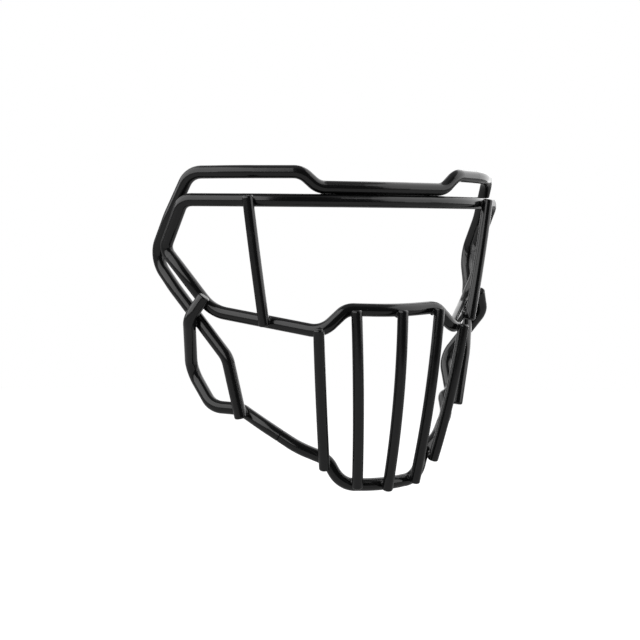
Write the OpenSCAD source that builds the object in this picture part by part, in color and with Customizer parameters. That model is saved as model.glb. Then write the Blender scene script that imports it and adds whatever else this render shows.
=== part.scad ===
/* [Wires] */
// Diameter of the heavy wires, coat included
main_wire = 7.4; // [6.4:0.1:8.4]
// Diameter of the uprights and grille bars, coat included
thin_wire = 6.3; // [5.2:0.1:7]
// Clearance between two wires that are welded to each other
weld_gap = 0.1; // [0.05:0.05:0.3]
// Radius of the coat round the edge of a cut end
end_round = 1.2; // [0.6:0.1:2]

/* [Welds] */
// Radius of the weld where two wires cross
weld_radius = 2.2; // [1.6:0.1:2.4]
// Width of the welds in the groove between two wires that run side by side
seam_width = 2; // [1.4:0.1:2.4]
// Distance of those welds from the line where the two wires meet
seam_inset = 0.6; // [0.4:0.1:1]
// Length of those welds
seam_length = 11; // [6:1:14]
// Distance of the outer welds in the dip from its middle
seam_x = 29; // [18:0.5:31]
// Distance of the temple leg's weld from the temple
leg_seam = 24; // [20:0.5:26]
// Width of the groove left by a butt weld
butt_gap = 0.8; // [0.4:0.1:2]
// How far the butt weld lies below the wire's surface
butt_depth = 0.25; // [0.1:0.05:0.6]

/* [Eye bar] */
// Bend radius at the middle of the eye bar and the brow bar
nose_radius = 185; // [120:5:250]
// Half width of the eye bar's front run
eye_front_x = 58.5; // [54:0.5:64]
// How far the ends of the front run lie behind its middle
eye_front_y = 3.5; // [1:0.5:6]
// Bend radius at the ends of the front run
eye_front_radius = 85; // [40:5:110]
// Half width at the temples
temple_x = 106.5; // [100:0.5:114]
// Depth of the temples behind the middle
temple_y = 45; // [38:0.5:52]
// Height of the temples above the front run
temple_rise = 0.5; // [-2:0.5:4]
// Bend radius at the temples
temple_radius = 8.5; // [6:0.5:14]
// Half width at the foot of the temple leg
corner_x = 109; // [103:0.5:115]
// Depth of the foot of the temple leg
corner_y = 66; // [60:0.5:72]
// Drop of the temple leg
corner_drop = 28; // [24:0.5:32]
// Bend radius where the eye bar turns forward into the mid bar
corner_radius = 6.5; // [5:0.5:8]
// Distance from that bend's vertex to the butt weld
corner_to_weld = 7; // [6:0.5:8]

/* [Brow bar] */
// Half length of the dip that lies on the eye bar
dip_x = 42; // [38:0.5:46]
// Bend radius at the ends of the dip
dip_radius = 11; // [6:0.5:14]
// Height of the crests above the dip
crest_rise = 8.5; // [6:0.5:12]
// Half width where the crests start
crest_start_x = 52; // [50:0.5:56]
// Depth where the crests start
crest_start_y = 5; // [3:0.5:8]
// Bend radius where the crests start
crest_start_radius = 10.5; // [6:0.5:14]
// Half width of the shallow bend in the crests
crest_bend_x = 83; // [78:0.5:88]
// Depth of the shallow bend in the crests
crest_bend_y = 24; // [20:0.5:28]
// Radius of the shallow bend in the crests
crest_bend_radius = 75; // [40:5:100]
// Half width at the outer end of the crests
crest_end_x = 102.5; // [98:0.5:108]
// Depth at the outer end of the crests
crest_end_y = 44.5; // [40:0.5:50]
// Bend radius at the outer end of the crests
crest_end_radius = 12.5; // [8:0.5:16]
// Distance below the temple where the brow bar meets the temple leg
leg_start = 17; // [12:0.5:22]
// Bend radius there
leg_start_radius = 55; // [30:5:80]
// How far the brow bar runs on past the foot of the temple leg
leg_past = 12; // [9:0.5:16]
// Bend radius at the back of the brow bar
back_radius = 14.5; // [10:0.5:20]
// Half width of the shallow bend under the back
back_foot_x = 103; // [99:0.5:108]
// Depth of the shallow bend under the back
back_foot_y = 65.5; // [62:0.5:70]
// Height of the shallow bend under the back
back_foot_z = -57.5; // [-62:0.5:-54]
// Bend radius there
back_foot_radius = 55; // [30:5:70]
// Half width of the bend above the brow bar's ends
brow_knee_x = 82; // [78:0.5:86]
// Depth of the bend above the brow bar's ends
brow_knee_y = 38.5; // [35:0.5:42]
// Height of the bend above the brow bar's ends
brow_knee_z = -97; // [-102:0.5:-92]
// Bend radius there
brow_knee_radius = 13; // [8:0.5:18]
// How far the ends run on past the middle of the jaw wires
brow_end_past = 0; // [0:0.5:6]

/* [Mid bar] */
// How far the middle of the mid bar stands out in front of the eye bar
mid_front = 14.5; // [11:0.5:18]
// Height of the middle of the mid bar
mid_z = -69.5; // [-74:0.5:-65]
// Bend radius at the middle
mid_radius = 65; // [40:5:90]
// Half width of the ends of the mid bar's crest
mid_crest_x = 30; // [28:0.5:33]
// Depth of the ends of the mid bar's crest
mid_crest_y = -7.5; // [-9:0.5:-6]
// Height of the ends of the mid bar's crest
mid_crest_z = -68.5; // [-72:0.5:-65]
// Bend radius there
mid_crest_radius = 11; // [8:0.5:14]
// Half width of the foot of the crest
mid_foot_x = 44; // [42:0.5:46]
// Depth of the foot of the crest
mid_foot_y = -5; // [-6:0.5:-4]
// Height of the foot of the crest
mid_foot_z = -81; // [-84:0.5:-78]
// Bend radius there
mid_foot_radius = 12; // [8:0.5:14]
// Half width of the cheek bend
cheek_x = 87.5; // [84:0.5:91]
// Depth of the cheek bend
cheek_y = 47.5; // [45:0.5:50]
// Height of the cheek bend
cheek_z = -70.5; // [-74:0.5:-68]
// Bend radius at the cheek
cheek_radius = 18; // [10:0.5:20]
// Half width of the shallow bend above the cheek
cheek_top_x = 102.5; // [100:0.5:105]
// Depth of the shallow bend above the cheek
cheek_top_y = 53.5; // [51:0.5:56]
// Height of the shallow bend above the cheek
cheek_top_z = -49; // [-52:0.5:-46]
// Bend radius above the cheek
cheek_top_radius = 40; // [20:5:60]

/* [Jaw wires] */
// Height where the jaw wires cross the mid bar
jaw_top_z = -63.5; // [-66:0.5:-60]
// How far their top ends run on past the mid bar
jaw_top_past = 3.5; // [1:0.5:8]
// Height where the jaw wires cross the brow bar
jaw_cross_z = -76.5; // [-80:0.5:-74]
// Distance from that crossing up to the bend above it
jaw_shoulder = 6.5; // [6:0.5:10]
// Bend radius above that crossing
jaw_shoulder_radius = 12.5; // [8:0.5:14]
// Half width of the back of the jaw
jaw_back_x = 89.5; // [86:0.5:94]
// Depth of the back of the jaw
jaw_back_y = 72.5; // [68:0.5:77]
// Height of the back of the jaw
jaw_back_z = -106.5; // [-110:0.5:-103]
// Bend radius at the back of the jaw
jaw_back_radius = 12; // [8:0.5:16]
// Half width of the jaw's lower corner
jaw_low_x = 83.5; // [80:0.5:87]
// Depth of the jaw's lower corner
jaw_low_y = 56; // [52:0.5:60]
// Height of the jaw's lower corner
jaw_low_z = -127; // [-131:0.5:-124]
// Bend radius at the lower corner
jaw_low_radius = 12; // [8:0.5:14]
// Half width of the bend under the brow bar's end
jaw_front_x = 70.5; // [68:0.5:73]
// Depth of the bend under the brow bar's end
jaw_front_y = 44.5; // [42:0.5:47]
// Height of the bend under the brow bar's end
jaw_front_z = -128; // [-131:0.5:-125]
// Bend radius there
jaw_front_radius = 13; // [8:0.5:16]
// Half width of the last bend
jaw_end_x = 63; // [61:0.5:65]
// Depth of the last bend
jaw_end_y = 30; // [28:0.5:32]
// Height of the last bend
jaw_end_z = -136; // [-138:0.5:-134]
// Bend radius of the last bend
jaw_end_radius = 32; // [20:5:60]
// Depth where the brow bar's end lies on the jaw wire
jaw_seat_y = 39; // [37:0.5:41]

/* [Chin wire] */
// Half width of the butt weld between the jaw wires and the chin wire
butt_x = 55.5; // [53:0.5:58]
// Half width of the chin wire's first bend
chin_side_x = 47.5; // [45:0.5:50]
// Depth of the chin wire's first bend
chin_side_y = 17; // [15:0.5:19]
// Height of the chin wire's first bend
chin_side_z = -148.5; // [-151:0.5:-146]
// Bend radius there
chin_side_radius = 44; // [20:5:65]
// Half width where the chin wire turns down
chin_drop_x = 32.5; // [31:0.5:35]
// Depth where the chin wire turns down
chin_drop_y = 9.5; // [8:0.5:12]
// Height where the chin wire turns down
chin_drop_z = -155.5; // [-158:0.5:-153]
// Bend radius there
chin_drop_radius = 13; // [8:0.5:16]
// Half width of the chin wire's lower corners
chin_low_x = 25.5; // [24:0.5:28]
// Depth of the chin wire's lower corners
chin_low_y = 5.5; // [4:0.5:7]
// Height of the chin wire's lower corners
chin_low_z = -170; // [-174:0.5:-166]
// Bend radius at the lower corners
chin_low_radius = 15; // [10:0.5:16]
// Depth of the middle of the chin wire
chin_front_y = 2; // [0:0.5:4]
// Height of the middle of the chin wire
chin_front_z = -171.5; // [-175:0.5:-168]
// Bend radius at the middle
chin_radius = 85; // [50:5:90]

/* [Uprights] */
// Half width where the uprights cross the eye bar
upright_top_x = 76.5; // [70:0.5:84]
// Half width where the uprights cross the mid bar
upright_foot_x = 64.5; // [58:0.5:72]
// How far the uprights bow outwards
upright_bow = 0.5; // [0.2:0.1:3]
// How far the uprights run on past the eye bar
upright_top_past = 3; // [0:0.5:6]
// How far the uprights run on past the mid bar
upright_foot_past = 1; // [0:0.5:6]

/* [Grille] */
// Half width where the outer bars cross the mid bar
outer_top_x = 44.5; // [42:0.5:50]
// Half width where the outer bars cross the chin wire
outer_foot_x = 32; // [30:0.5:36]
// How far the outer bars bow outwards
outer_bow = 1.4; // [0.5:0.1:5]
// Half width where the inner bars cross the mid bar
inner_top_x = 26; // [20:0.5:29]
// Half width where the inner bars cross the chin wire
inner_foot_x = 18; // [14:0.5:22]
// How far the inner bars bow outwards
inner_bow = 2.4; // [0.5:0.1:6]
// How far the centre bar bows outwards
centre_bow = 3.4; // [0.5:0.1:7]
// How far the outer bars run on past the mid bar
outer_top_past = 2; // [0:0.5:5]
// How far the other grille bars run on past the mid bar
grille_top_past = 0.5; // [0:0.5:5]
// How far the outer bars' feet reach past the middle of the chin wire
outer_foot_past = 1.5; // [-1:0.5:6]
// How far the inner bars' feet reach past the middle of the chin wire
inner_foot_past = -0.5; // [-2:0.5:6]
// How far the centre bar's foot reaches past the middle of the chin wire
centre_foot_past = 1; // [-2:0.5:6]
// Straight length of a bowed bar inside each weld
bar_straight = 5; // [3:0.5:8]

/* [Hidden] */
$fa = 3;
$fs = 0.6;
coat = "#17181a";
out_left = [1, 0, 0];
out_front = [0, -1, 0];
// A bend is this much thicker than its straight runs, and the runs reach this far into it
hair = 0.025;
bite = 0.3;
// Share of a run that its bends may take up
room = 0.995;
// Degrees between two points measured on a bend
step = 2;
// Facets round a weld and round the wires cut out of it
weld_facets = 256;
pitch = main_wire + weld_gap;
bar_pitch = (main_wire + thin_wire) / 2 + weld_gap;

// Paths: a path is a list of vertices, each with its place and the radius of its bend

function unit(v) = v / norm(v);
function mix(a, b, f) = a + (b - a) * f;
function place(path, i) = [path[i][0], path[i][1], path[i][2]];
function vertex(point, radius) = [point[0], point[1], point[2], radius];
function run(path, i) = place(path, i + 1) - place(path, i);
function is_bend(path, i) = i > 0 && i < len(path) - 1 && path[i][3] > 0;
function bend_angle(path, i) =
    acos(max(-1, min(1, unit(run(path, i - 1)) * unit(run(path, i)))));
// Length of run that a bend would take on each side, before it is limited by its neighbours
function wish(path, i) = is_bend(path, i) ? path[i][3] * tan(bend_angle(path, i) / 2) : 0;
function room_in(path, i) = room * (norm(run(path, i)) - (i == 0 || i == len(path) - 2 ? end_round : 0));
function share(path, i, j, length) = length * wish(path, i) / (wish(path, i) + wish(path, j));
function reach(path, i) = wish(path, i) == 0 ? 0 : min(
    wish(path, i),
    share(path, i, i - 1, room_in(path, i - 1)),
    share(path, i, i + 1, room_in(path, i)));
function bend_start(path, i) = place(path, i) - reach(path, i) * unit(run(path, i - 1));
function bend_radius(path, i) = reach(path, i) / tan(bend_angle(path, i) / 2);
function bend_centre(path, i) = place(path, i)
    + unit(unit(run(path, i)) - unit(run(path, i - 1))) * bend_radius(path, i) / cos(bend_angle(path, i) / 2);

// Points with their directions along a path, close together in its bends
function bend_points(path, i) = let (
    centre = bend_centre(path, i),
    arm = bend_start(path, i) - centre,
    ahead = norm(arm) * unit(run(path, i - 1)),
    count = ceil(bend_angle(path, i) / step)
) [
    for (k = [0:count]) let (a = bend_angle(path, i) * k / count)
        [centre + cos(a) * arm + sin(a) * ahead, unit(cos(a) * ahead - sin(a) * arm)]
];
function points(path) = let (last = len(path) - 1) concat(
    [[place(path, 0), unit(run(path, 0))]],
    [for (i = [1:last - 1]) each bend_points(path, i)],
    [[place(path, last), unit(run(path, last - 1))]]);

// The last point of a path, with its direction, where a coordinate has a value
function crossing(path, axis, value) = let (
    p = points(path),
    hits = [for (i = [0:len(p) - 2]) if ((p[i][0][axis] - value) * (p[i + 1][0][axis] - value) <= 0) i],
    k = hits[len(hits) - 1],
    f = (value - p[k][0][axis]) / (p[k + 1][0][axis] - p[k][0][axis])
) [mix(p[k][0], p[k + 1][0], f), unit(mix(p[k][1], p[k + 1][1], f))];

// A left half path that starts at the middle, carried on to the right side
function across(half) = concat(
    [for (i = [len(half) - 1:-1:1]) [-half[i][0], half[i][1], half[i][2], half[i][3]]],
    half);

// Centre of a wire that comes from a point and lies against the wire at a crossing
function seat(at, from, side) = let (
    offset = from - at[0],
    across_it = offset - (offset * at[1]) * at[1],
    toward = unit(across_it),
    k = pitch / norm(across_it),
    turned = cross(at[1], toward),
    beside = turned * side > 0 ? turned : -turned
) at[0] + pitch * (k * toward + sqrt(max(0, 1 - k * k)) * beside);

// Centre of a thin bar of a given direction that lies on the front of the wire at a crossing
function bar_seat(at, direction) = let (
    normal = unit(cross(at[1], direction)),
    front = normal * out_front > 0 ? normal : -normal
) at[0] + bar_pitch * front;

// Path of a bowed bar on the front of an upper and a lower wire
function bar_path(top, foot, bow, top_past, foot_past) = let (
    chord = foot[0] - top[0],
    facing = unit(bar_seat(top, chord) - top[0] + bar_seat(foot, chord) - foot[0]),
    slope = bow / (norm(chord) / 4 + bar_straight / 2) * 180 / PI,
    down = unit(chord),
    a = bar_seat(top, down + tan(slope) * facing),
    b = bar_seat(foot, down - tan(slope) * facing),
    length = norm(b - a),
    along = unit(b - a),
    square_out = unit(facing - (facing * along) * along),
    apex = (a + b) / 2 + length / 2 * tan(slope) * square_out,
    bend = (length / 2 / cos(slope) - bar_straight) / tan(slope)
) [
    vertex(a - top_past * unit(apex - a), 0),
    vertex(apex, bend),
    vertex(b + foot_past * unit(b - apex), 0)
];

// Eye bar, down its temple leg to the butt weld with the mid bar
corner = [corner_x, corner_y, temple_rise - pitch - corner_drop];
temple = [temple_x, temple_y, temple_rise - pitch];
cheek_top = [cheek_top_x, cheek_top_y, cheek_top_z];
eye_half = [
    [0, 0, -pitch, nose_radius],
    [eye_front_x, eye_front_y, -pitch, eye_front_radius],
    vertex(temple, temple_radius),
    vertex(corner, corner_radius),
    vertex(corner + (corner_to_weld - butt_gap / 2) * unit(cheek_top - corner), 0)
];
eye_path = across(eye_half);

// Mid bar, from the grille's crest up to the temple corner
mid_half = [
    [0, -mid_front, mid_z, mid_radius],
    [mid_crest_x, mid_crest_y, mid_crest_z, mid_crest_radius],
    [mid_foot_x, mid_foot_y, mid_foot_z, mid_foot_radius],
    [cheek_x, cheek_y, cheek_z, cheek_radius],
    vertex(cheek_top, cheek_top_radius),
    vertex(corner + (corner_to_weld + butt_gap / 2) * unit(cheek_top - corner), 0)
];
mid_path = across(mid_half);

// Lower run of the jaw wire and the chin wire, which are butted in line
jaw_front = [jaw_front_x, jaw_front_y, jaw_front_z];
jaw_end = [jaw_end_x, jaw_end_y, jaw_end_z];
chin_side = [chin_side_x, chin_side_y, chin_side_z];
butt_along = unit(chin_side - jaw_end);
butt = mix(jaw_end, chin_side, (butt_x - jaw_end_x) / (chin_side_x - jaw_end_x));
jaw_low_path = [
    [jaw_low_x, jaw_low_y, jaw_low_z, 0],
    vertex(jaw_front, jaw_front_radius),
    vertex(jaw_end, jaw_end_radius),
    vertex(butt - butt_gap / 2 * butt_along, 0)
];
chin_half = [
    [0, chin_front_y, chin_front_z, chin_radius],
    [chin_low_x, chin_low_y, chin_low_z, chin_low_radius],
    [chin_drop_x, chin_drop_y, chin_drop_z, chin_drop_radius],
    vertex(chin_side, chin_side_radius),
    vertex(butt + butt_gap / 2 * butt_along, 0)
];
chin_path = across(chin_half);

// Brow bar: its dip follows the eye bar, its side legs the temple legs, its ends lie on the jaw wires
leg_along = unit(corner - temple);
leg_shift = pitch * unit(cross(out_left, leg_along));
brow_knee = [brow_knee_x, brow_knee_y, brow_knee_z];
jaw_foot_at = crossing(jaw_low_path, 1, jaw_seat_y);
brow_foot = seat(jaw_foot_at, brow_knee, out_left);
brow_half = [
    [0, 0, 0, nose_radius],
    vertex(crossing(eye_path, 0, dip_x)[0] + [0, 0, pitch], dip_radius),
    [crest_start_x, crest_start_y, crest_rise, crest_start_radius],
    [crest_bend_x, crest_bend_y, crest_rise, crest_bend_radius],
    [crest_end_x, crest_end_y, crest_rise, crest_end_radius],
    vertex(temple + leg_start * leg_along + leg_shift, leg_start_radius),
    vertex(corner + leg_past * leg_along + leg_shift, back_radius),
    [back_foot_x, back_foot_y, back_foot_z, back_foot_radius],
    vertex(brow_knee, brow_knee_radius),
    vertex(brow_foot + brow_end_past * unit(brow_foot - brow_knee), 0)
];
brow_path = across(brow_half);

// Jaw wire: it lies on the outside of the brow bar and of the mid bar
jaw_back = [jaw_back_x, jaw_back_y, jaw_back_z];
jaw_cross_at = crossing(brow_path, 2, jaw_cross_z);
jaw_cross = seat(jaw_cross_at, jaw_back, out_left);
jaw_shoulder_at = jaw_cross + jaw_shoulder * unit(jaw_cross - jaw_back);
jaw_top_at = crossing(mid_path, 2, jaw_top_z);
jaw_top = seat(jaw_top_at, jaw_shoulder_at, out_left);
jaw_path = [
    vertex(jaw_top + jaw_top_past * unit(jaw_top - jaw_shoulder_at), 0),
    vertex(jaw_shoulder_at, jaw_shoulder_radius),
    vertex(jaw_back, jaw_back_radius),
    [jaw_low_x, jaw_low_y, jaw_low_z, jaw_low_radius],
    vertex(jaw_front, jaw_front_radius),
    vertex(jaw_end, jaw_end_radius),
    vertex(butt - butt_gap / 2 * butt_along, 0)
];

// Thin bars on the front
function grille_path(top_x, foot_x, bow, top_past, foot_past) = bar_path(
    crossing(mid_path, 0, top_x), crossing(chin_path, 0, foot_x), bow, top_past, foot_past);
upright_path = bar_path(
    crossing(eye_path, 0, upright_top_x), crossing(mid_path, 0, upright_foot_x),
    upright_bow, upright_top_past, upright_foot_past);
outer_path = grille_path(outer_top_x, outer_foot_x, outer_bow, outer_top_past, outer_foot_past);
inner_path = grille_path(inner_top_x, inner_foot_x, inner_bow, grille_top_past, inner_foot_past);
centre_path = grille_path(0, 0, centre_bow, grille_top_past, centre_foot_past);

// Wires

// Everything is drawn on the left side, and mirrored for the right
module on(side) {
    mirror([side < 0 ? 1 : 0, 0, 0]) children();
}

module from_to(a, b) {
    v = b - a;
    translate(a) rotate([0, acos(v[2] / norm(v)), atan2(v[1], v[0])]) children();
}

module straight(a, b, d) {
    from_to(a, b) cylinder(d = d, h = norm(b - a));
}

module bend(path, i, d) {
    centre = bend_centre(path, i);
    x = unit(bend_start(path, i) - centre);
    y = unit(run(path, i - 1));
    z = cross(x, y);
    multmatrix([
        [x[0], y[0], z[0], centre[0]],
        [x[1], y[1], z[1], centre[1]],
        [x[2], y[2], z[2], centre[2]]
    ]) rotate_extrude(angle = bend_angle(path, i)) translate([bend_radius(path, i), 0]) circle(d = d + 2 * hair);
}

// A straight run from a to b, where b is a cut end with the coat rounded over its edge
module rounded_run(a, b, d) {
    body = norm(b - a) - end_round;
    from_to(a, b) rotate_extrude() {
        square([d / 2, body]);
        square([d / 2 - end_round, body + end_round]);
        translate([0, body]) intersection() {
            translate([d / 2 - end_round, 0]) circle(r = end_round);
            square([d / 2, end_round]);
        }
    }
}

// Where the straight part of a run starts and ends
function run_start(path, i) = place(path, i) + (reach(path, i) - (i == 0 ? 0 : bite)) * unit(run(path, i));
function run_end(path, i) = place(path, i + 1)
    - (reach(path, i + 1) - (i == len(path) - 2 ? 0 : bite)) * unit(run(path, i));

// A bent wire, with its ends rounded, or cut square where they are butt welded
module wire(path, d, square_end = false) {
    last = len(path) - 1;
    for (i = [1:last - 1]) bend(path, i, d);
    rounded_run(run_end(path, 0), place(path, 0), d);
    for (i = [1:1:last - 2]) straight(run_start(path, i), run_end(path, i), d);
    if (square_end) straight(run_start(path, last - 1), place(path, last), d);
    else rounded_run(run_start(path, last - 1), place(path, last), d);
}

// A wire that is cut square at both ends
module butted_wire(path, d) {
    for (i = [1:len(path) - 2]) bend(path, i, d);
    for (i = [0:len(path) - 2]) straight(run_start(path, i), run_end(path, i), d);
}

// Welds

function off_run(path, i, at) = let (
    a = run_start(path, i),
    b = run_end(path, i),
    t = max(0, min(norm(b - a), (at - a) * unit(b - a)))
) norm(at - a - t * unit(b - a));
function off_bend(path, i, at) = min([for (p = bend_points(path, i)) norm(at - p[0])]);

// The bends and runs of a wire that lie within a distance of a point on it
module wire_near(path, d, at, within) {
    for (i = [1:len(path) - 2]) if (off_bend(path, i, at) < within) bend(path, i, d);
    for (i = [0:len(path) - 2]) if (off_run(path, i, at) < within)
        straight(run_start(path, i), run_end(path, i), d);
}

// A weld near the end of a wire lies this far back from the crossing, so that the end covers it
function weld_shift(past) = max(0, weld_radius + bite - past);

// Weld between two wires that cross, moved along the second one
module cross_weld(path_a, at_a, d_a, path_b, at_b, d_b, shift) {
    normal = unit(at_b - at_a);
    middle = at_a + (d_a + weld_gap) / 2 * normal + shift;
    depth = thin_wire / 2 - sqrt(pow(thin_wire / 2, 2) - pow(weld_radius, 2)) + bite;
    $fn = weld_facets;
    difference() {
        from_to(middle - depth * normal, middle + depth * normal) cylinder(r = weld_radius, h = 2 * depth);
        wire_near(path_a, d_a, at_a, 2 * weld_radius);
        wire_near(path_b, d_b, at_b, 2 * weld_radius);
    }
}

// Weld in the groove between two heavy wires that run side by side, on the side that faces the head
module seam_weld(path_a, at_a, along, path_b, at_b, inward) {
    normal = unit(at_b - at_a);
    square_on = unit(cross(normal, along));
    sideways = square_on * inward > 0 ? square_on : -square_on;
    middle = (at_a + at_b) / 2 + (seam_inset + seam_width / 2) * sideways;
    $fn = weld_facets;
    difference() {
        multmatrix([
            [along[0], sideways[0], normal[0], middle[0]],
            [along[1], sideways[1], normal[1], middle[1]],
            [along[2], sideways[2], normal[2], middle[2]]
        ]) cube([seam_length, seam_width, main_wire], center = true);
        wire_near(path_a, main_wire, at_a, seam_length);
        wire_near(path_b, main_wire, at_b, seam_length);
    }
}

module butt_weld(at, along) {
    color(coat) straight(at - butt_gap / 2 * along, at + butt_gap / 2 * along, main_wire - 2 * butt_depth);
}

// Welds at the two ends of a thin bar
module bar_top_weld(wire_path, at, path, past) {
    down = unit(run(path, 0));
    color(coat) cross_weld(wire_path, at[0], main_wire, path, place(path, 0) + past * down, thin_wire,
        weld_shift(past) * down);
}

module bar_foot_weld(wire_path, at, path, past) {
    up = -unit(run(path, 1));
    color(coat) cross_weld(wire_path, at[0], main_wire, path, place(path, 2) + past * up, thin_wire,
        weld_shift(past) * up);
}

// Sub-parts

module brow_bar() {
    color(coat) wire(brow_path, main_wire);
}

module eye_bar() {
    color(coat) butted_wire(eye_path, main_wire);
}

module mid_bar() {
    color(coat) butted_wire(mid_path, main_wire);
}

module chin_wire() {
    color(coat) butted_wire(chin_path, main_wire);
}

module jaw_wire(side) {
    color(coat) on(side) wire(jaw_path, main_wire, square_end = true);
}

module thin_bar(path, side) {
    color(coat) on(side) wire(path, thin_wire);
}

module brow_seam_welds() {
    for (x = [-seam_x, 0, seam_x]) {
        at = crossing(eye_path, 0, x);
        color(coat) seam_weld(eye_path, at[0], at[1], brow_path, at[0] + [0, 0, pitch], -out_front);
    }
}

module temple_leg_welds() {
    at = temple + leg_seam * leg_along;
    for (side = [-1, 1]) on(side) color(coat)
        seam_weld(eye_path, at, leg_along, brow_path, at + leg_shift, -out_left);
}

module temple_butt_welds() {
    along = unit(cheek_top - corner);
    for (side = [-1, 1]) on(side) butt_weld(corner + corner_to_weld * along, along);
}

module jaw_butt_welds() {
    for (side = [-1, 1]) on(side) butt_weld(butt, butt_along);
}

module jaw_top_welds() {
    for (side = [-1, 1]) on(side) color(coat)
        cross_weld(mid_path, jaw_top_at[0], main_wire, jaw_path, jaw_top, main_wire, [0, 0, 0]);
}

module jaw_crossing_welds() {
    for (side = [-1, 1]) on(side) color(coat)
        cross_weld(brow_path, jaw_cross_at[0], main_wire, jaw_path, jaw_cross, main_wire, [0, 0, 0]);
}

module jaw_foot_welds() {
    shift = weld_shift(brow_end_past) * unit(brow_knee - brow_foot);
    for (side = [-1, 1]) on(side) color(coat)
        cross_weld(jaw_path, jaw_foot_at[0], main_wire, brow_path, brow_foot, main_wire, shift);
}

module upright_top_welds() {
    for (side = [-1, 1]) on(side)
        bar_top_weld(eye_path, crossing(eye_path, 0, upright_top_x), upright_path, upright_top_past);
}

module upright_foot_welds() {
    for (side = [-1, 1]) on(side)
        bar_foot_weld(mid_path, crossing(mid_path, 0, upright_foot_x), upright_path, upright_foot_past);
}

module grille_top_welds() {
    for (side = [-1, 1]) on(side) {
        bar_top_weld(mid_path, crossing(mid_path, 0, outer_top_x), outer_path, outer_top_past);
        bar_top_weld(mid_path, crossing(mid_path, 0, inner_top_x), inner_path, grille_top_past);
    }
    bar_top_weld(mid_path, crossing(mid_path, 0, 0), centre_path, grille_top_past);
}

module grille_foot_welds() {
    for (side = [-1, 1]) on(side) {
        bar_foot_weld(chin_path, crossing(chin_path, 0, outer_foot_x), outer_path, outer_foot_past);
        bar_foot_weld(chin_path, crossing(chin_path, 0, inner_foot_x), inner_path, inner_foot_past);
    }
    bar_foot_weld(chin_path, crossing(chin_path, 0, 0), centre_path, centre_foot_past);
}

brow_bar();
eye_bar();
mid_bar();
thin_bar(upright_path, -1);  // upright_right
thin_bar(upright_path, 1);  // upright_left
jaw_wire(-1);  // jaw_wire_right
jaw_wire(1);  // jaw_wire_left
chin_wire();
thin_bar(outer_path, -1);  // grille_bar_right_outer
thin_bar(inner_path, -1);  // grille_bar_right_inner
thin_bar(centre_path, 1);  // grille_bar_centre
thin_bar(inner_path, 1);  // grille_bar_left_inner
thin_bar(outer_path, 1);  // grille_bar_left_outer
brow_seam_welds();
temple_leg_welds();
temple_butt_welds();
upright_top_welds();
upright_foot_welds();
jaw_top_welds();
jaw_crossing_welds();
jaw_foot_welds();
jaw_butt_welds();
grille_top_welds();
grille_foot_welds();
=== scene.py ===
import bpy
import numpy as np
from mathutils import Matrix, Vector
from mathutils.bvhtree import BVHTree


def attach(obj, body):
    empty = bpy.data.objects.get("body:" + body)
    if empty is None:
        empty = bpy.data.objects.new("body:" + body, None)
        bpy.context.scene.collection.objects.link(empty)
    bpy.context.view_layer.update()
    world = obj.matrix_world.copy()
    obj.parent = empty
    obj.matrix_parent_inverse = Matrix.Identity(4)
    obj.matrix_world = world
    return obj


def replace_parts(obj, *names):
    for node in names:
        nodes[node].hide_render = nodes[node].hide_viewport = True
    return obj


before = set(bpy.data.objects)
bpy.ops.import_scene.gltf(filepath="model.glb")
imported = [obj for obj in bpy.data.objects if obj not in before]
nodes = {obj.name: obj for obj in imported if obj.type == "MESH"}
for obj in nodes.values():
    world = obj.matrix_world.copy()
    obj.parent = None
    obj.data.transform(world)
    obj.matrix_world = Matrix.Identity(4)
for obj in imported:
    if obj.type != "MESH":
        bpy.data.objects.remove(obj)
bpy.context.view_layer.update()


# Camera
# The photograph looks slightly down at the mask's right front corner, through a long lens from about
# 0.8 m away. The camera aims at a point between the eye opening and the grille.
AIM = Vector((-0.0350, 0.0139, -0.0754))
VIEW_DISTANCE = 0.8198
VIEW_AZIMUTH = -28.67
VIEW_ELEVATION = 3.52
VIEW_ROLL = 0.14
LENS = 80.5
SENSOR_WIDTH = 36.0
NEAREST_VIEW = 0.01


def bearing(azimuth, elevation=0.0):
    """The way out from the mask, azimuth degrees round from its front and elevation degrees up."""
    a, e = np.radians(azimuth), np.radians(elevation)
    return np.array([np.sin(a) * np.cos(e), -np.cos(a) * np.cos(e), np.sin(e)])


def facing_mask(place, outward):
    """The matrix of a camera or lamp at a place, looking against the way outward."""
    return Matrix.Translation(place) @ outward.to_track_quat("Z", "Y").to_matrix().to_4x4()


towards_camera = Vector(bearing(VIEW_AZIMUTH, VIEW_ELEVATION))
camera = bpy.data.objects.new("camera", bpy.data.cameras.new("camera"))
camera.data.lens = LENS
camera.data.sensor_width = SENSOR_WIDTH
camera.data.clip_start = NEAREST_VIEW
camera.matrix_world = (
    facing_mask(AIM + VIEW_DISTANCE * towards_camera, towards_camera)
    @ Matrix.Rotation(np.radians(VIEW_ROLL), 4, "Z")
)
bpy.context.scene.collection.objects.link(camera)
bpy.context.scene.camera = camera


# Coat
# The whole mask is dipped in a glossy black plastic coat after welding. It is smooth to the touch, with the
# shallow waves of a dipped skin, a fine grain, specks of dust and duller patches where hands have rubbed it.
COAT_BLACK = (0.0045, 0.0046, 0.0049, 1.0)
COAT_DUST = (0.03, 0.03, 0.031, 1.0)
COAT_IOR = 1.5

# Layers of the skin: input, usual height and lump size in metres, detail and roughness of the noise
SKIN_LAYERS = (
    ("Wave", 0.00006, 0.012, 1.0, 0.4),
    ("Peel", 0.00001, 0.0016, 1.5, 0.5),
    ("Grain", 0.000003, 0.0004, 2.0, 0.6),
)

# Marks of handling: input, usual strength, output, patch size in metres, detail and roughness of the noise,
# and the values of the noise between which the mark fades in
HANDLING_MARKS = (
    ("Rub", 0.5, "Rubbed", 0.03, 3.0, 0.6, 0.45, 0.7),
    ("Dust", 0.5, "Dusty", 0.0007, 0.0, 0.5, 0.76, 0.84),
)


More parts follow.
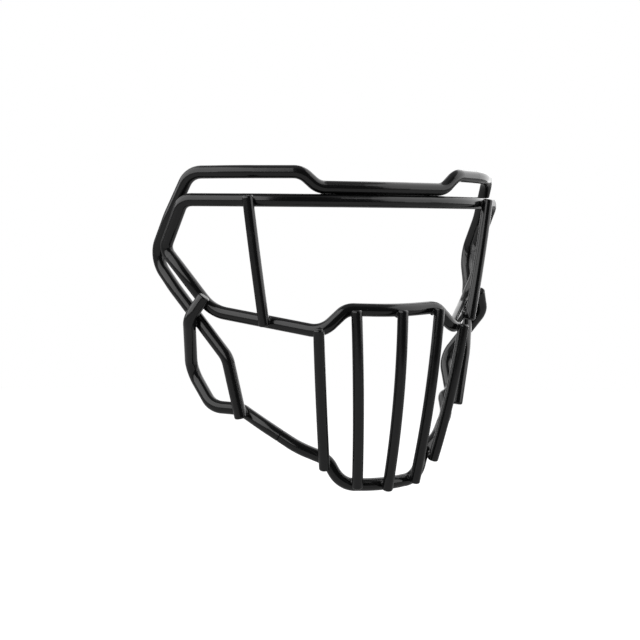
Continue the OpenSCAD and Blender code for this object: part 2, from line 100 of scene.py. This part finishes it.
def link(tree, source, target):
    """Joins an output to an input."""
    tree.links.new(source, target)


def add_node(tree, kind, **values):
    """A shader node with the settings and the sockets named in values set. An underscore stands for a space."""
    node = tree.nodes.new(kind)
    for name, value in values.items():
        if hasattr(node, name):
            setattr(node, name, value)
        else:
            node.inputs[name.replace("_", " ")].default_value = value
    return node


def noise_at(tree, vector, size, detail, roughness):
    """Noise whose lumps are about size metres across."""
    noise = add_node(tree, "ShaderNodeTexNoise", Scale=1.0 / size, Detail=detail, Roughness=roughness)
    link(tree, vector, noise.inputs["Vector"])
    return noise.outputs["Fac"]


def ramp(tree, value, low, high, to_low, to_high):
    """value from low..high carried smoothly to to_low..to_high, and held there past the ends."""
    node = add_node(tree, "ShaderNodeMapRange", interpolation_type="SMOOTHSTEP",
                    From_Min=low, From_Max=high, To_Min=to_low, To_Max=to_high)
    link(tree, value, node.inputs["Value"])
    return node.outputs["Result"]


def calculate(tree, operation, a, b):
    """A Math node on two values, each a number or an output."""
    node = add_node(tree, "ShaderNodeMath", operation=operation)
    for socket, value in zip(node.inputs, (a, b)):
        if isinstance(value, (int, float)):
            socket.default_value = value
        else:
            link(tree, value, socket)
    return node.outputs[0]


def new_group(name, inputs, outputs):
    """A node group with number sockets: the group, what enters it, what leaves it, and Object coordinates."""
    group = bpy.data.node_groups.new(name, "ShaderNodeTree")
    for socket_name, value in inputs:
        socket = group.interface.new_socket(socket_name, in_out="INPUT", socket_type="NodeSocketFloat")
        socket.default_value = value
    for socket_name in outputs:
        group.interface.new_socket(socket_name, in_out="OUTPUT", socket_type="NodeSocketFloat")
    enter = group.nodes.new("NodeGroupInput").outputs
    leave = group.nodes.new("NodeGroupOutput").inputs
    return group, enter, leave, group.nodes.new("ShaderNodeTexCoord").outputs["Object"]


def dipped_skin_group():
    """Height of the skin in metres: long shallow waves, orange peel and a fine grain, added up."""
    group, enter, leave, place = new_group("dipped skin", [layer[:2] for layer in SKIN_LAYERS], ["Height"])
    wave, peel, grain = [
        calculate(group, "MULTIPLY", noise_at(group, place, size, detail, roughness), enter[name])
        for name, _, size, detail, roughness in SKIN_LAYERS
    ]
    link(group, calculate(group, "ADD", calculate(group, "ADD", wave, peel), grain), leave["Height"])
    return group


def handling_group():
    """Masks of places that hands have rubbed dull and of specks of dust: the highest parts of two noises."""
    group, enter, leave, place = new_group(
        "handling", [mark[:2] for mark in HANDLING_MARKS], [mark[2] for mark in HANDLING_MARKS]
    )
    for name, _, mask, size, detail, roughness, low, high in HANDLING_MARKS:
        spots = ramp(group, noise_at(group, place, size, detail, roughness), low, high, 0.0, 1.0)
        link(group, calculate(group, "MULTIPLY", spots, enter[name]), leave[mask])
    return group


DIPPED_SKIN = dipped_skin_group()
HANDLING = handling_group()


def coat_material(name, wave, peel, grain, rub, dust, gloss, dull):
    """Black coat, from the heights of its skin in metres, the strength of its rubbing and dust, and its
    roughness where it is glossy and where it is rubbed dull."""
    material = bpy.data.materials.new(name)
    material.use_nodes = True
    tree = material.node_tree
    shader = tree.nodes["Principled BSDF"]
    shader.inputs["IOR"].default_value = COAT_IOR
    skin = add_node(tree, "ShaderNodeGroup", node_tree=DIPPED_SKIN, Wave=wave, Peel=peel, Grain=grain)
    handled = add_node(tree, "ShaderNodeGroup", node_tree=HANDLING, Rub=rub, Dust=dust)
    colour = add_node(tree, "ShaderNodeMix", data_type="RGBA", A=COAT_BLACK, B=COAT_DUST)
    link(tree, handled.outputs["Dusty"], colour.inputs["Factor"])
    link(tree, colour.outputs["Result"], shader.inputs["Base Color"])
    link(tree, ramp(tree, handled.outputs["Rubbed"], 0.0, 1.0, gloss, dull), shader.inputs["Roughness"])
    bump = add_node(tree, "ShaderNodeBump", Strength=1.0, Distance=1.0)
    link(tree, skin.outputs["Height"], bump.inputs["Height"])
    link(tree, bump.outputs["Normal"], shader.inputs["Normal"])
    return material


def dress(names, material):
    """Gives CAD nodes their material."""
    for name in names:
        nodes[name].data.materials.clear()
        nodes[name].data.materials.append(material)


# Heavy wires
# Quarter inch steel wire, bent cold round pins and welded before the dip: the brow bar, the eye bar, the mid
# bar, both jaw wires and the chin wire.
WIRE_RADIUS = 0.0037
heavy_coat = coat_material(
    "black coat on heavy wire",
    wave=0.00005, peel=0.000006, grain=0.0000015, rub=0.5, dust=0.6, gloss=0.14, dull=0.24,
)
dress(["brow_bar", "eye_bar", "mid_bar", "jaw_wire_right", "jaw_wire_left", "chin_wire"], heavy_coat)


# Thin bars
# Lighter wire for the two uprights and the five bowed grille bars. They are cut to length, laid on the heavy
# wires and welded there, and the coat rounds their ends.
thin_coat = coat_material(
    "black coat on thin bar",
    wave=0.00004, peel=0.000006, grain=0.0000015, rub=0.6, dust=0.6, gloss=0.15, dull=0.26,
)
dress(["upright_right", "upright_left", "grille_bar_right_outer", "grille_bar_right_inner", "grille_bar_centre",
       "grille_bar_left_inner", "grille_bar_left_outer"], thin_coat)


# Crossing welds
# Where two wires cross, the weld and the coat that ran into it make a small waisted bead between them. Each
# bead is fitted to the wires' own surfaces round the place of its CAD weld.
BEAD_WAIST = 0.0019
BEAD_FOOT = 0.0027
BEAD_SINK = 0.00012
BEAD_LIMIT = 0.0016
BEAD_RINGS = 11
BEAD_SIDES = 40

# Ripples round a bead: share of its radius, waves in a turn, and shift per metre of the bead's place
BEAD_RIPPLES = ((0.03, 5, (900, 0, 0)), (0.02, 9, (0, 0, 700)))
weld_coat = coat_material(
    "black coat over weld",
    wave=0.00004, peel=0.000012, grain=0.000003, rub=0.2, dust=0.8, gloss=0.18, dull=0.28,
)

wire_corners, wire_faces = [], []
for wire_name in nodes:
    if not wire_name.endswith("_welds"):
        wire = nodes[wire_name].data
        wire_faces += [[len(wire_corners) + i for i in face.vertices] for face in wire.polygons]
        wire_corners += [vertex.co.copy() for vertex in wire.vertices]
WIRES = BVHTree.FromPolygons(wire_corners, wire_faces)


def loose_parts(mesh):
    """The points of each separate solid of a CAD node, in metres: points that edges join take the lowest
    number among them, until no number changes."""
    corners = np.array([vertex.co for vertex in mesh.vertices])
    places, index = np.unique(np.round(corners, 7), axis=0, return_inverse=True)
    index = index.ravel()
    group = np.arange(len(places))
    edges = index[np.array([edge.vertices for edge in mesh.edges])]
    while True:
        low = np.minimum(group[edges[:, 0]], group[edges[:, 1]])
        before = group.copy()
        np.minimum.at(group, edges[:, 0], low)
        np.minimum.at(group, edges[:, 1], low)
        if (group == before).all():
            break
    return [places[group == number] for number in np.unique(group)]


def new_piece(name, points, faces, material):
    """A smooth mesh object on the mask's body, with the material given."""
    mesh = bpy.data.meshes.new(name)
    mesh.from_pydata([tuple(point) for point in points], [], faces)
    mesh.shade_smooth()
    mesh.materials.append(material)
    piece = bpy.data.objects.new(name, mesh)
    bpy.context.scene.collection.objects.link(piece)
    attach(piece, "root")
    return piece


def add_tube(points, faces, rings, ends):
    """Adds a closed tube: quads from ring to ring and a fan to the end point at each end. Where the tube's
    signed volume is below zero its faces are turned over, so that they face outwards."""
    count, sides, first = len(rings), len(rings[0]), len(points)
    new_points = np.concatenate([*rings, ends])
    i = np.arange(count - 1)[:, None] * sides
    j = np.arange(sides)
    after = (j + 1) % sides
    quads = np.stack([i + j, i + after, i + sides + after, i + sides + j], axis=2).reshape(-1, 4)
    last = (count - 1) * sides
    start_fan = np.stack([np.full(sides, count * sides), after, j], axis=1)
    end_fan = np.stack([np.full(sides, count * sides + 1), last + j, last + after], axis=1)
    triangles = np.concatenate([quads[:, :3], quads[:, [0, 2, 3]], start_fan, end_fan])
    corners = new_points[triangles] - new_points.mean(axis=0)
    volume = (corners[:, 0] * np.cross(corners[:, 1], corners[:, 2])).sum()
    turned = slice(None) if volume > 0 else slice(None, None, -1)
    for group in (quads, start_fan, end_fan):
        faces += [tuple(face) for face in (group[:, turned] + first).tolist()]
    points += list(new_points)


def round_weld(solid, sides):
    """A weld's middle, the way through its thinnest side, the turns round that way, and the ways out there."""
    centre = (solid.min(axis=0) + solid.max(axis=0)) / 2
    a, b, thin = np.linalg.svd(solid - centre, full_matrices=False)[2]
    turns = np.linspace(0, 2 * np.pi, sides, endpoint=False)
    return centre, thin, turns, np.cos(turns)[:, None] * a + np.sin(turns)[:, None] * b


def height_over(point, direction):
    """Distance from a point to the wire in a direction, held at the bead's limit."""
    hit = WIRES.ray_cast(Vector(point), Vector(direction), BEAD_LIMIT)
    return BEAD_LIMIT if hit[3] is None else hit[3]


def bead_rings(solid):
    """Rings and end points of a waisted bead, s going from -1 at one wire to 1 at the other. The radius is the
    waist and the rest of the foot times s squared, and ripples that fade to the wires as one less s squared.
    The height over the middle is s times the distance to the wire there."""
    centre, normal, turns, outward = round_weld(solid, BEAD_SIDES)
    feet = centre + BEAD_FOOT * outward
    top = np.array([height_over(foot, normal) for foot in feet]) + BEAD_SINK
    bottom = np.array([height_over(foot, -normal) for foot in feet]) + BEAD_SINK
    ripple = sum(share * np.sin(waves * turns + np.dot(shift, centre)) for share, waves, shift in BEAD_RIPPLES)
    s = np.linspace(-1, 1, BEAD_RINGS)[:, None]
    radius = (BEAD_WAIST + (BEAD_FOOT - BEAD_WAIST) * s ** 2) * (1 + ripple * (1 - s ** 2))
    height = np.where(s > 0, top, bottom) * s
    rings = centre + radius[..., None] * outward + height[..., None] * normal
    below, above = height_over(centre, -normal) + BEAD_SINK, height_over(centre, normal) + BEAD_SINK
    return rings, [centre - below * normal, centre + above * normal]


def crossing_beads(weld_name):
    """One piece of beads in place of a CAD node of crossing welds."""
    points, faces = [], []
    for solid in loose_parts(nodes[weld_name].data):
        add_tube(points, faces, *bead_rings(solid))
    beads = new_piece(weld_name.replace("welds", "beads"), points, faces, weld_coat)
    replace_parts(beads, weld_name)


for weld_name in ("upright_top_welds", "upright_foot_welds", "jaw_top_welds", "jaw_crossing_welds",
                  "jaw_foot_welds", "grille_top_welds", "grille_foot_welds"):
    crossing_beads(weld_name)


# Grooves
# Where two heavy wires lie side by side, the coat bridges the groove between them, so that no light passes.
# On the side that faces the head it swells over the welds.
GROOVE_GAP = 0.0001
FRONT_REACH = 0.0004
BACK_REACH = 0.0011
WELD_REACH = 0.0023
WELD_LENGTH = 0.011
WELD_RIPPLE = 0.02
RIPPLE_LENGTH = 0.0024
GROOVE_STEP = 0.0003
GROOVE_SINK = 0.00008
GROOVE_POINTS = 9
GROOVE_HOLLOW = 0.12
TAPER_LENGTH = 0.0012
TAPER_LEAST = 0.15


def groove_rings(middles, inward, normals, front, back):
    """Sections of the coat in a groove, from front metres before to back metres behind the line where the
    wires meet. Its height at x is half the gap, the wire's radius less the root of radius squared less x
    squared, and a little more to sink into the wire. Each open side is hollow by a share of its reach."""
    across = np.linspace(-front, back, GROOVE_POINTS, axis=1)
    height = GROOVE_GAP / 2 + WIRE_RADIUS - np.sqrt(WIRE_RADIUS ** 2 - across ** 2) + GROOVE_SINK
    level = np.zeros((len(middles), 1))
    hollow = 1 - GROOVE_HOLLOW
    x = np.concatenate([across, hollow * back[:, None], across[:, ::-1], -hollow * front[:, None]], axis=1)
    z = np.concatenate([height, level, -height[:, ::-1], level], axis=1)
    return middles[:, None] + x[..., None] * inward[:, None] + z[..., None] * normals[:, None]


def groove_coat(name, weld_name, runs):
    """Coat along grooves. A run is its middles, the way to the head, the way between the wires, and its welds.
    Each end tapers in a quarter circle. Over a weld the coat swells by the root of one less the square of the
    distance from the weld's middle in half lengths, with ripples along it."""
    points, faces = [], []
    for middles, inward, normals, weld_places in runs:
        along = np.concatenate([[0], np.cumsum(np.linalg.norm(np.diff(middles, axis=0), axis=1))])
        ends = np.clip(np.minimum(along, along[-1] - along) / TAPER_LENGTH, 0, 1)
        taper = TAPER_LEAST + (1 - TAPER_LEAST) * np.sqrt(1 - (1 - ends) ** 2)
        ripple = 1 + WELD_RIPPLE * np.sin(2 * np.pi * along / RIPPLE_LENGTH)
        swell = np.zeros(len(along))
        for place in weld_places:
            over_weld = np.clip(1 - (2 * (along - place) / WELD_LENGTH) ** 2, 0, 1)
            swell = np.maximum(swell, np.sqrt(over_weld) * ripple)
        back = (BACK_REACH + (WELD_REACH - BACK_REACH) * swell) * taper
        rings = groove_rings(middles, inward, normals, FRONT_REACH * taper, back)
        add_tube(points, faces, rings, [middles[0], middles[-1]])
    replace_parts(new_piece(name, points, faces, weld_coat), weld_name)


# The dip of the brow bar on the eye bar: its bow is found from the points of the brow bar's own mesh
DIP_HALF = 0.0395
DIP_WELD_SPACING = 0.029
BOW_HALF = 0.038
BOW_MARGIN = 0.0001
brow_points = np.array([vertex.co for vertex in nodes["brow_bar"].data.vertices])
in_dip = (np.abs(brow_points[:, 0]) < BOW_HALF) & (np.abs(brow_points[:, 2]) < WIRE_RADIUS + BOW_MARGIN)
bow = np.polyfit(brow_points[in_dip, 0] ** 2, brow_points[in_dip, 1], 2)
dip_x = np.arange(-DIP_HALF, DIP_HALF + GROOVE_STEP, GROOVE_STEP)
dip_z = np.full(len(dip_x), -WIRE_RADIUS - GROOVE_GAP / 2)
dip = np.stack([dip_x, np.polyval(bow, dip_x ** 2), dip_z], axis=1)
dip_along = np.gradient(dip, axis=0)
dip_along /= np.linalg.norm(dip_along, axis=1)[:, None]
up = np.tile([0.0, 0.0, 1.0], (len(dip), 1))
groove_coat("brow_groove_coat", "brow_seam_welds", [
    (dip, np.cross(up, dip_along), up, [DIP_HALF - DIP_WELD_SPACING, DIP_HALF, DIP_HALF + DIP_WELD_SPACING]),
])

# The brow bar's legs behind the eye bar's temple legs, which run from the temple to the corner under it
TEMPLE = np.array([0.1065, 0.045, -0.007])
CORNER = np.array([0.109, 0.066, -0.035])
LEG_START = 0.0165
LEG_END = 0.0312
LEG_WELD = 0.0075
leg = (CORNER - TEMPLE) / np.linalg.norm(CORNER - TEMPLE)
behind = np.cross([1, 0, 0], leg)
behind /= np.linalg.norm(behind)
leg_inward = np.cross(leg, behind)
leg_inward *= -np.sign(leg_inward[0])
leg_places = np.arange(LEG_START, LEG_END, GROOVE_STEP)[:, None]
leg_middles = TEMPLE + leg_places * leg + (WIRE_RADIUS + GROOVE_GAP / 2) * behind
groove_coat("temple_groove_coat", "temple_leg_welds", [
    (leg_middles * mirror, np.tile(leg_inward * mirror, (len(leg_middles), 1)),
     np.tile(behind * mirror, (len(leg_middles), 1)), [LEG_WELD])
    for mirror in (np.array([-1, 1, 1]), np.array([1, 1, 1]))
])


# Butt welds
# The square ends of the jaw wires and of the eye bar are butt welded in line. Under the chin the coat sinks a
# little there, and the thin ring reads as a dark line. At the temples it fills the ring level with the wires.
SEAM_SPECULAR = 0.15
SLEEVE_HALF = 0.0011
SLEEVE_PROUD = 0.00004
SLEEVE_SINK = 0.0001
SLEEVE_RINGS = 15
SLEEVE_SIDES = 64
seam_coat = coat_material(
    "black coat in a seam",
    wave=0.00002, peel=0.00002, grain=0.000003, rub=0.0, dust=0.3, gloss=0.5, dull=0.5,
)
seam_coat.node_tree.nodes["Principled BSDF"].inputs["Specular IOR Level"].default_value = SEAM_SPECULAR
dress(["jaw_butt_welds"], seam_coat)


def sleeve_rings(solid):
    """Rings and end points of the coat round a butt weld, s going from -1 to 1 along the wire. Its radius is
    the wire's and what it stands proud, less what it stands proud and sinks in times s to the fourth."""
    centre, axis, _, outward = round_weld(solid, SLEEVE_SIDES)
    s = np.linspace(-1, 1, SLEEVE_RINGS)[:, None, None]
    radius = WIRE_RADIUS + SLEEVE_PROUD - (SLEEVE_PROUD + SLEEVE_SINK) * s ** 4
    rings = centre + s * SLEEVE_HALF * axis + radius * outward
    return rings, [centre - SLEEVE_HALF * axis, centre + SLEEVE_HALF * axis]


points, faces = [], []
for solid in loose_parts(nodes["temple_butt_welds"].data):
    add_tube(points, faces, *sleeve_rings(solid))
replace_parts(new_piece("temple_butt_coat", points, faces, heavy_coat), "temple_butt_welds")


# Floor
# The near end of a white sweep under the mask, running back from it. The camera sees it white, the coat
# mirrors it much darker, and the mask's shadow falls on it.
FLOOR_Z = -0.45
FLOOR_FRONT = -1.3
FLOOR_BACK = 12.0
FLOOR_HALF_WIDTH = 8.0
FLOOR_GREY = (0.25, 0.25, 0.25, 1.0)
FLOOR_ROUGHNESS = 0.9
FLOOR_SEEN = 0.95
FLOOR_MIRRORED = 0.17


def background_glow(tree, seen, mirrored):
    """White emission, of one strength straight from the camera and another off a gloss or through glass."""
    rays = tree.nodes.new("ShaderNodeLightPath").outputs
    bent = calculate(tree, "MAXIMUM", rays["Is Glossy Ray"], rays["Is Transmission Ray"])
    strength = calculate(tree, "MAXIMUM", calculate(tree, "MULTIPLY", rays["Is Camera Ray"], seen),
                         calculate(tree, "MULTIPLY", bent, mirrored))
    glow = tree.nodes.new("ShaderNodeEmission")
    link(tree, strength, glow.inputs["Strength"])
    return glow.outputs["Emission"]


def studio_sheet(name, corners, material):
    """A flat sheet of the studio, from its four corners."""
    mesh = bpy.data.meshes.new(name)
    mesh.from_pydata(corners, [], [(0, 1, 2, 3)])
    mesh.materials.append(material)
    sheet = bpy.data.objects.new(name, mesh)
    bpy.context.scene.collection.objects.link(sheet)
    return sheet


floor_material = bpy.data.materials.new("white sweep")
floor_material.use_nodes = True
tree = floor_material.node_tree
floor_shader = tree.nodes["Principled BSDF"]
floor_shader.inputs["Base Color"].default_value = FLOOR_GREY
floor_shader.inputs["Roughness"].default_value = FLOOR_ROUGHNESS
floor_shader.inputs["Specular IOR Level"].default_value = 0.0
lit = tree.nodes.new("ShaderNodeAddShader")
link(tree, floor_shader.outputs["BSDF"], lit.inputs[0])
link(tree, background_glow(tree, FLOOR_SEEN, FLOOR_MIRRORED), lit.inputs[1])
link(tree, lit.outputs["Shader"], tree.nodes["Material Output"].inputs["Surface"])
floor = studio_sheet("floor", [
    (-FLOOR_HALF_WIDTH, FLOOR_FRONT, FLOOR_Z), (FLOOR_HALF_WIDTH, FLOOR_FRONT, FLOOR_Z),
    (FLOOR_HALF_WIDTH, FLOOR_BACK, FLOOR_Z), (-FLOOR_HALF_WIDTH, FLOOR_BACK, FLOOR_Z),
], floor_material)


# Backdrop
# A white board that stands on the floor far behind the mask, where the camera looks. The rims of the wires
# mirror it as white as the camera sees it.
BOARD_AZIMUTH = 151.3
BOARD_DISTANCE = 3.0
BOARD_HALF_WIDTH = 1.2
BOARD_TOP = 1.1
BOARD_WHITE = 1.0
board_material = bpy.data.materials.new("white backdrop")
board_material.use_nodes = True
tree = board_material.node_tree
link(tree, background_glow(tree, BOARD_WHITE, BOARD_WHITE), tree.nodes["Material Output"].inputs["Surface"])
board_middle = BOARD_DISTANCE * bearing(BOARD_AZIMUTH)
board_side = BOARD_HALF_WIDTH * bearing(BOARD_AZIMUTH + 90)
board = studio_sheet("backdrop", [
    tuple(board_middle + side * board_side + np.array([0.0, 0.0, height]))
    for side, height in ((-1, FLOOR_Z), (1, FLOOR_Z), (1, BOARD_TOP), (-1, BOARD_TOP))
], board_material)


# Light
# Three upright softboxes: a tall one at the left of the photograph, a lower one at its right and a small dim
# one behind the mask. The studio round them is a dim grey, and darker still in front, where the camera stands.
GAP_AZIMUTH = -8.0
GAP_ELEVATION = 12.0
GAP_EDGE = 0.35
GAP_CORE = 0.8
GAP_BRIGHTNESS = 0.05
STUDIO_BRIGHTNESS = 0.3
world = bpy.data.worlds.new("studio")
world.use_nodes = True
bpy.context.scene.world = world
tree = world.node_tree
studio = tree.nodes["Background"]
studio.inputs["Color"].default_value = (1.0, 1.0, 1.0, 1.0)

# The cosine of the angle from the gap's middle darkens the studio from the gap's edge to its core
towards_gap = add_node(tree, "ShaderNodeVectorMath", operation="DOT_PRODUCT")
link(tree, tree.nodes.new("ShaderNodeTexCoord").outputs["Generated"], towards_gap.inputs[0])
towards_gap.inputs[1].default_value = tuple(bearing(GAP_AZIMUTH, GAP_ELEVATION))
surroundings = ramp(tree, towards_gap.outputs["Value"], GAP_EDGE, GAP_CORE, STUDIO_BRIGHTNESS, GAP_BRIGHTNESS)
straight = tree.nodes.new("ShaderNodeLightPath").outputs["Is Camera Ray"]
link(tree, calculate(tree, "MAXIMUM", straight, surroundings), studio.inputs["Strength"])


def softbox(name, azimuth, distance, low, high, width, brightness):
    """An upright lamp that faces the mask, from low to high over its middle. Brightness 1 is white in a
    mirror: the energy is brightness times pi times the lamp's area."""
    outward = Vector(bearing(azimuth))
    lamp = bpy.data.lights.new(name, "AREA")
    lamp.shape = "RECTANGLE"
    lamp.size = width
    lamp.size_y = high - low
    lamp.energy = brightness * np.pi * width * (high - low)
    box = bpy.data.objects.new(name, lamp)
    box.matrix_world = facing_mask(AIM + distance * outward + Vector((0.0, 0.0, (low + high) / 2)), outward)
    bpy.context.scene.collection.objects.link(box)


softbox("left softbox", azimuth=-88, distance=1.5, low=0.0, high=4.2, width=3.9, brightness=1.85)
softbox("right softbox", azimuth=86, distance=1.5, low=-0.21, high=2.5, width=4.3, brightness=1.5)
softbox("rear softbox", azimuth=-163, distance=1.5, low=0.45, high=2.1, width=1.6, brightness=0.65)

bpy.context.scene.view_settings.view_transform = "Standard"
